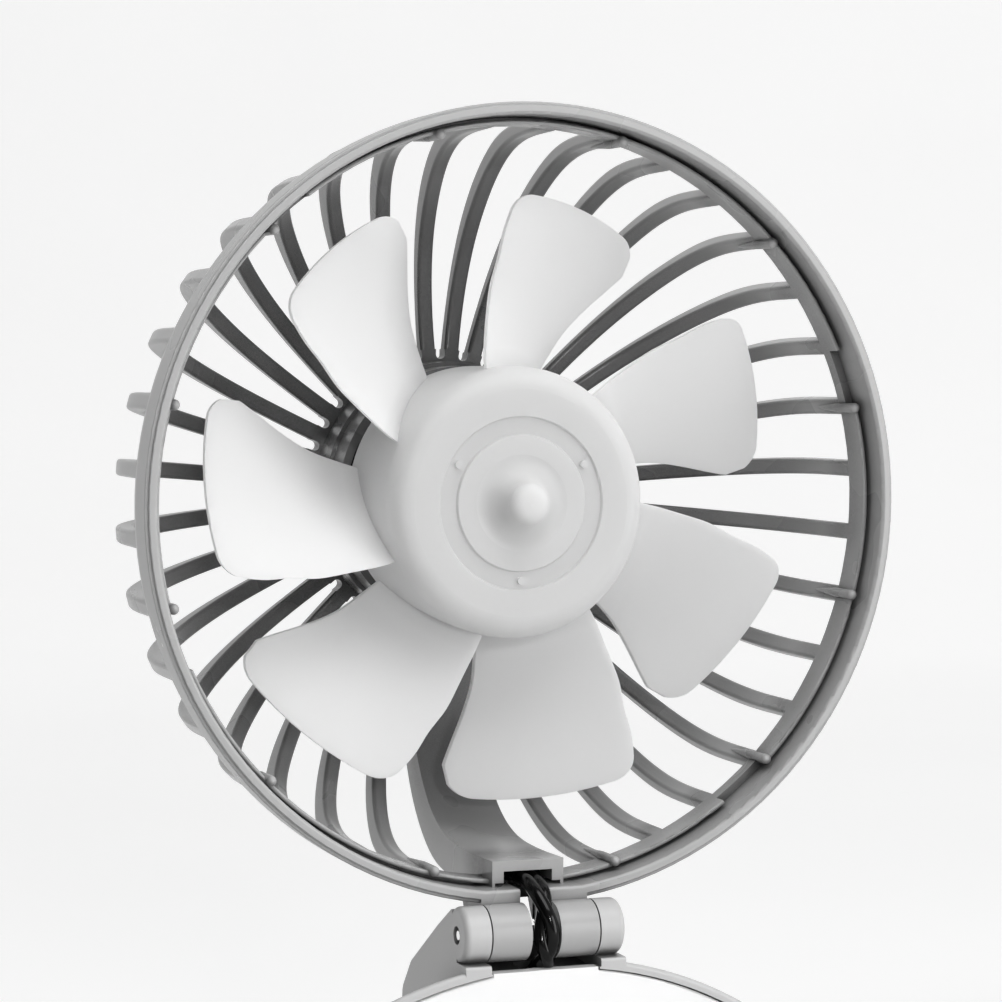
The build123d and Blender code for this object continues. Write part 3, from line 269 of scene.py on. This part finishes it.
def tube(name, pts, radius, mat, sides=20, flatten=None):
    """Closed tube along a line of points, with rounded ends."""
    frames = []
    n = len(pts)
    tangents = [(pts[min(i + 1, n - 1)] - pts[max(i - 1, 0)]).normalized() for i in range(n)]
    normal = tangents[0].orthogonal().normalized()
    for t in tangents:
        normal = (normal - t * normal.dot(t)).normalized()
        frames.append((normal.copy(), t.cross(normal).normalized()))
    bm = bmesh.new()
    rings = []
    ends = [(0, -1.0), (n - 1, 1.0)]
    stations = []
    for k in (3, 2, 1):
        a = math.pi / 2 * k / 3.2
        stations.append((pts[0] - tangents[0] * radius * 0.5 * math.sin(a), 0, radius * math.cos(a)))
    for i in range(n):
        stations.append((pts[i], i, radius))
    for k in (1, 2, 3):
        a = math.pi / 2 * k / 3.2
        stations.append((pts[-1] + tangents[-1] * radius * 0.5 * math.sin(a), n - 1, radius * math.cos(a)))
    for c, i, r in stations:
        u, v = frames[i]
        rings.append([bm.verts.new(c + u * r * math.cos(2 * math.pi * k / sides)
                                   + v * r * math.sin(2 * math.pi * k / sides)) for k in range(sides)])
    for r0, r1 in zip(rings, rings[1:]):
        for k in range(sides):
            bm.faces.new((r0[k], r0[(k + 1) % sides], r1[(k + 1) % sides], r1[k]))
    bm.faces.new(rings[0][::-1])
    bm.faces.new(rings[-1])
    bmesh.ops.recalc_face_normals(bm, faces=bm.faces)
    me = bpy.data.meshes.new(name)
    bm.to_mesh(me)
    bm.free()
    for p in me.polygons:
        p.use_smooth = True
    me.materials.append(mat)
    ob = bpy.data.objects.new(name, me)
    scene.collection.objects.link(ob)
    return ob


def joined(name, obs):
    """One object from several meshes."""
    bm = bmesh.new()
    for o in obs:
        bm.from_mesh(o.data)
    me = bpy.data.meshes.new(name)
    bm.to_mesh(me)
    bm.free()
    for m in obs[0].data.materials:
        me.materials.append(m)
    for o in obs:
        bpy.data.objects.remove(o)
    ob = bpy.data.objects.new(name, me)
    scene.collection.objects.link(ob)
    return ob


mm = 0.001
WIRE_R = 0.00075
STRAND_R = 0.00095


def wire(name, route, mat, radius=WIRE_R):
    return tube(name, [Vector(p) for p in spline_points([(x * mm, y * mm, z * mm) for x, y, z in route])],
                radius, mat)


# the two wires cross over each other as they come out of the spine and go down between the knuckles
strand_a = [(-0.46, 4.4, 114.60), (-0.50, 3.0, 114.62), (-0.60, 0.6, 114.55), (-0.30, -1.6, 113.3), (0.35, -3.4, 111.4),
            (0.90, -4.0, 109.4), (1.00, -4.0, 107.3), (0.55, -3.3, 105.6), (-0.15, -1.9, 104.4),
            (-0.46, -0.7, 103.2), (-0.46, 0.35, 101.8)]
strand_b = [(1.06, 4.4, 114.60), (1.08, 3.0, 114.55), (1.15, 0.9, 114.1), (1.05, -1.2, 112.6), (0.35, -2.3, 110.8),
            (-0.25, -2.9, 109.0), (-0.25, -3.4, 107.2), (0.30, -3.6, 105.7), (0.95, -2.4, 104.4),
            (1.06, -0.8, 103.2), (1.06, 0.35, 101.8)]
hinge_lead = joined("hinge_lead", [wire("strand_a", strand_a, MAT["cable"], STRAND_R),
                                   wire("strand_b", strand_b, MAT["cable"], STRAND_R)])
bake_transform(hinge_lead)
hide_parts("hinge_cable")

head_run = [(37.55, AXIS_Z * 1000 - 5.5), (37.6, AXIS_Z * 1000 - 12.5), (38.0, AXIS_Z * 1000 - 20.5),
            (37.1, AXIS_Z * 1000 - 29.8), (34.95, AXIS_Z * 1000 - 36.3), (31.7, AXIS_Z * 1000 - 41.2),
            (28.0, AXIS_Z * 1000 - 44.9), (23.9, AXIS_Z * 1000 - 47.35), (18.6, AXIS_Z * 1000 - 48.45),
            (12.5, AXIS_Z * 1000 - 48.85), (7.6, AXIS_Z * 1000 - 49.0), (3.4, AXIS_Z * 1000 - 49.1)]
base_run = [(0.38, AXIS_Z * 1000 - 61.95), (3.0, AXIS_Z * 1000 - 66.3), (3.9, AXIS_Z * 1000 - 74.5),
            (3.3, AXIS_Z * 1000 - 83.0), (3.8, AXIS_Z * 1000 - 92.0), (3.3, AXIS_Z * 1000 - 101.0),
            (3.7, AXIS_Z * 1000 - 107.5), (3.2, AXIS_Z * 1000 - 113.2)]
for name, run, body, node in (("head_lead", head_run, "head", "motor_cable"),
                              ("base_lead", base_run, "base", "base_cable")):
    lead = joined(name, [wire("wire", [(x, y, z) for y, z in run], MAT["cable"]) for x in (-0.46, 1.06)])
    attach(lead, body)
    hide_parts(node)


# ------------------------------------------------------------------ spring
PIVOT = Vector((0.0, 0.0295, 0.0587))


def coil_points(x0, x1, r, turns, a0, steps=28):
    n = int(turns * steps)
    return [PIVOT + Vector((x0 + (x1 - x0) * i / n, r * math.cos(a0 + 2 * math.pi * turns * i / n),
                            r * math.sin(a0 + 2 * math.pi * turns * i / n))) for i in range(n + 1)]


coil = coil_points(-0.0034, 0.0034, 0.0030, 4.5, math.pi)
base_leg = [Vector((-0.0034, 0.0224, 0.0755)), Vector((-0.0034, 0.0246, 0.0680))]
spring_coil = tube("spring_coil", base_leg + coil, 0.00068, MAT["spring_steel"], sides=14)
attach(spring_coil, "base")
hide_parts("clip_spring")
arm_leg = [PIVOT + Vector((0.0034, 0.0030, 0.0)), PIVOT + Vector((0.0034, 0.0045, 0.0060)),
           Vector((0.0034, 0.0364, 0.0725))]
spring_leg = tube("spring_leg", arm_leg, 0.00068, MAT["spring_steel"], sides=14)
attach(spring_leg, "clip")


# ------------------------------------------------------------------ stage
def stage_piece(name, verts, faces, smooth=True):
    me = bpy.data.meshes.new(name)
    me.from_pydata(verts, [], faces)
    me.update()
    for p in me.polygons:
        p.use_smooth = smooth
    ob = bpy.data.objects.new(name, me)
    scene.collection.objects.link(ob)
    return ob


def cyclorama():
    prof = [(-3.0, 0.0), (1.3, 0.0)]
    for k in range(1, 17):
        a = math.pi / 2 * k / 16
        prof.append((1.3 + 0.9 * math.sin(a), 0.9 - 0.9 * math.cos(a)))
    prof.append((2.2, 4.0))
    verts, faces = [], []
    for x in (-4.0, 4.0):
        for y, z in prof:
            verts.append((x, y, z))
    n = len(prof)
    for i in range(n - 1):
        faces.append((i, i + 1, n + i + 1, n + i))
    return stage_piece("floor", verts, faces)


# painted light: glow strengths of the floor paper and of the wall paper
FLOOR_GLOW, WALL_GLOW = 0.45, 0.53
floor = cyclorama()
fm, nt, bsdf = new_material("floor_paper")
nz = noise(nt, 6.0, 2.0)
colour = ramp(nt, nz.outputs["Fac"], g(0.62), g(0.635))
nt.links.new(colour.outputs["Color"], bsdf.inputs["Base Color"])
bsdf.inputs["Roughness"].default_value = 0.9
# painted light: the paper behind the object glows on its own instead of being lit, a little brighter on the right
tc = nt.nodes.new("ShaderNodeTexCoord")
sep = nt.nodes.new("ShaderNodeSeparateXYZ")
nt.links.new(tc.outputs["Object"], sep.inputs["Vector"])
rise = nt.nodes.new("ShaderNodeMapRange")
rise.interpolation_type = "SMOOTHSTEP"
rise.inputs["From Min"].default_value = 0.08
rise.inputs["From Max"].default_value = 0.42
rise.inputs["To Min"].default_value = 0.0
rise.inputs["To Max"].default_value = FLOOR_GLOW
nt.links.new(sep.outputs["Y"], rise.inputs["Value"])
wall = nt.nodes.new("ShaderNodeMapRange")
wall.interpolation_type = "SMOOTHSTEP"
wall.inputs["From Min"].default_value = 0.5
wall.inputs["From Max"].default_value = 1.9
wall.inputs["To Min"].default_value = 0.0
wall.inputs["To Max"].default_value = WALL_GLOW - FLOOR_GLOW
nt.links.new(sep.outputs["Y"], wall.inputs["Value"])
both = nt.nodes.new("ShaderNodeMath")
both.operation = "ADD"
nt.links.new(rise.outputs["Result"], both.inputs[0])
nt.links.new(wall.outputs["Result"], both.inputs[1])
side = nt.nodes.new("ShaderNodeMapRange")
side.inputs["From Min"].default_value = -0.2
side.inputs["From Max"].default_value = 1.6
side.inputs["To Min"].default_value = 1.0
side.inputs["To Max"].default_value = 1.16
nt.links.new(sep.outputs["X"], side.inputs["Value"])
glow = nt.nodes.new("ShaderNodeMath")
glow.operation = "MULTIPLY"
nt.links.new(both.outputs["Value"], glow.inputs[0])
nt.links.new(side.outputs["Result"], glow.inputs[1])
bsdf.inputs["Emission Color"].default_value = (1, 1, 1, 1)
nt.links.new(glow.outputs["Value"], bsdf.inputs["Emission Strength"])
floor.data.materials.append(fm)

world = bpy.data.worlds.new("studio")
scene.world = world
world.use_nodes = True
bg = world.node_tree.nodes["Background"]
bg.inputs["Color"].default_value = (1, 1, 1, 1)
# the room is dim on the left and lighter on the right
tc = world.node_tree.nodes.new("ShaderNodeTexCoord")
sep = world.node_tree.nodes.new("ShaderNodeSeparateXYZ")
sideways = world.node_tree.nodes.new("ShaderNodeMapRange")
sideways.inputs["From Min"].default_value = -0.9
sideways.inputs["From Max"].default_value = 0.9
sideways.inputs["To Min"].default_value = 0.02
sideways.inputs["To Max"].default_value = 0.50
world.node_tree.links.new(tc.outputs["Generated"], sep.inputs["Vector"])
world.node_tree.links.new(sep.outputs["X"], sideways.inputs["Value"])
world.node_tree.links.new(sideways.outputs["Result"], bg.inputs["Strength"])


def area(name, loc, target, size, power, shape="RECTANGLE", size_y=None):
    d = bpy.data.lights.new(name, "AREA")
    d.shape = shape
    d.size = size
    d.size_y = size_y or size
    d.energy = power
    o = bpy.data.objects.new(name, d)
    scene.collection.objects.link(o)
    o.location = loc
    o.rotation_euler = (Vector(target) - Vector(loc)).to_track_quat("-Z", "Y").to_euler()
    return o


# key from above and in front, fill from the front right, a small spark from the front left
area("key", (0.12, -0.55, 1.25), (0.0, 0.0, 0.15), 0.9, 8.5)
area("fill_front", (0.95, -1.2, 0.40), (0, 0, 0.14), 0.9, 9.5)
area("spark", (-0.25, -1.2, 0.42), (0, 0, 0.12), 0.05, 2.6)

scene.view_settings.view_transform = "Standard"

# ------------------------------------------------------------------ camera
az, el, roll = math.radians(-21.106), math.radians(2.523), math.radians(0.513)
b = Vector((math.sin(az) * math.cos(el), -math.cos(az) * math.cos(el), math.sin(el)))
right = (-b).cross(Vector((0, 0, 1))).normalized()
up = right.cross(-b)
r2 = right * math.cos(roll) + up * math.sin(roll)
u2 = -right * math.sin(roll) + up * math.cos(roll)
target = Vector((-0.005175, 0.0, 0.000599 + AXIS_Z))
loc = target + b * 0.367
cam_data = bpy.data.cameras.new("camera")
cam = bpy.data.objects.new("camera", cam_data)
scene.collection.objects.link(cam)
cam_data.sensor_width = 36.0
cam_data.lens = 2852.57 / 1002.0 * 36.0
cam_data.clip_start, cam_data.clip_end = 0.01, 20.0
cam.matrix_world = Matrix(((r2.x, u2.x, b.x, loc.x), (r2.y, u2.y, b.y, loc.y),
                           (r2.z, u2.z, b.z, loc.z), (0, 0, 0, 1)))
scene.camera = cam
